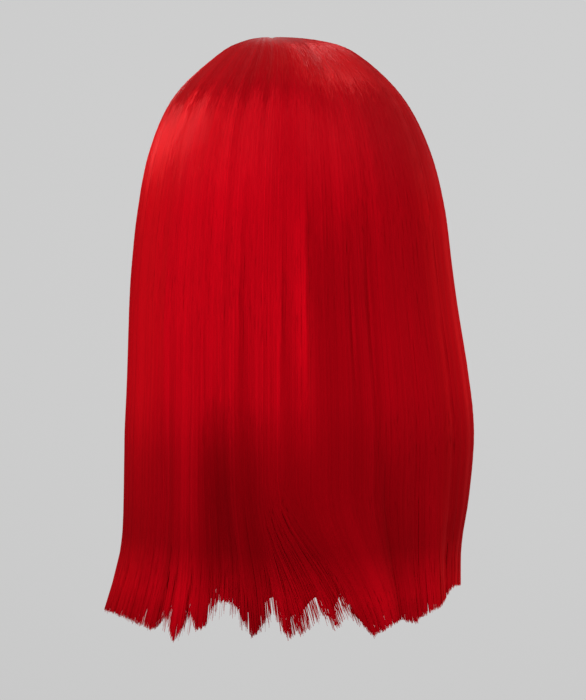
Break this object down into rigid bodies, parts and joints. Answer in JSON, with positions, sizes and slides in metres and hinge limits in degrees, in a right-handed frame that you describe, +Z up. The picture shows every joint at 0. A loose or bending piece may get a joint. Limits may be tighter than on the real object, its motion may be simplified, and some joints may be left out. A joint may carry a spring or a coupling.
{
  "type": "bob wig with bangs",
  "caption": "Straight shoulder-length bob wig in bright red synthetic hair, with bangs over the brow, a ragged hem and a net cap inside that seats on a head.",
  "frame": {"origin": "top of the head inside the cap, where the wig sits", "axes": "+Z up, the face looks along -Y, the wearer's left is +X"},
  "size_m": [0.2319, 0.2195, 0.3575],
  "materials": {
    "hair": "straight glossy synthetic fibre in saturated red",
    "cap_net": "dull stretch net with sewn weft rows in dark red",
    "crown_skin": "soft matte skin-toned film"
  },
  "bodies": {
    "root": {"cap": "cap_net", "crown_patch": "crown_skin", "hair_back": "hair", "hair_left": "hair", "hair_right": "hair", "bangs": "hair"}
  },
  "joints": []
}
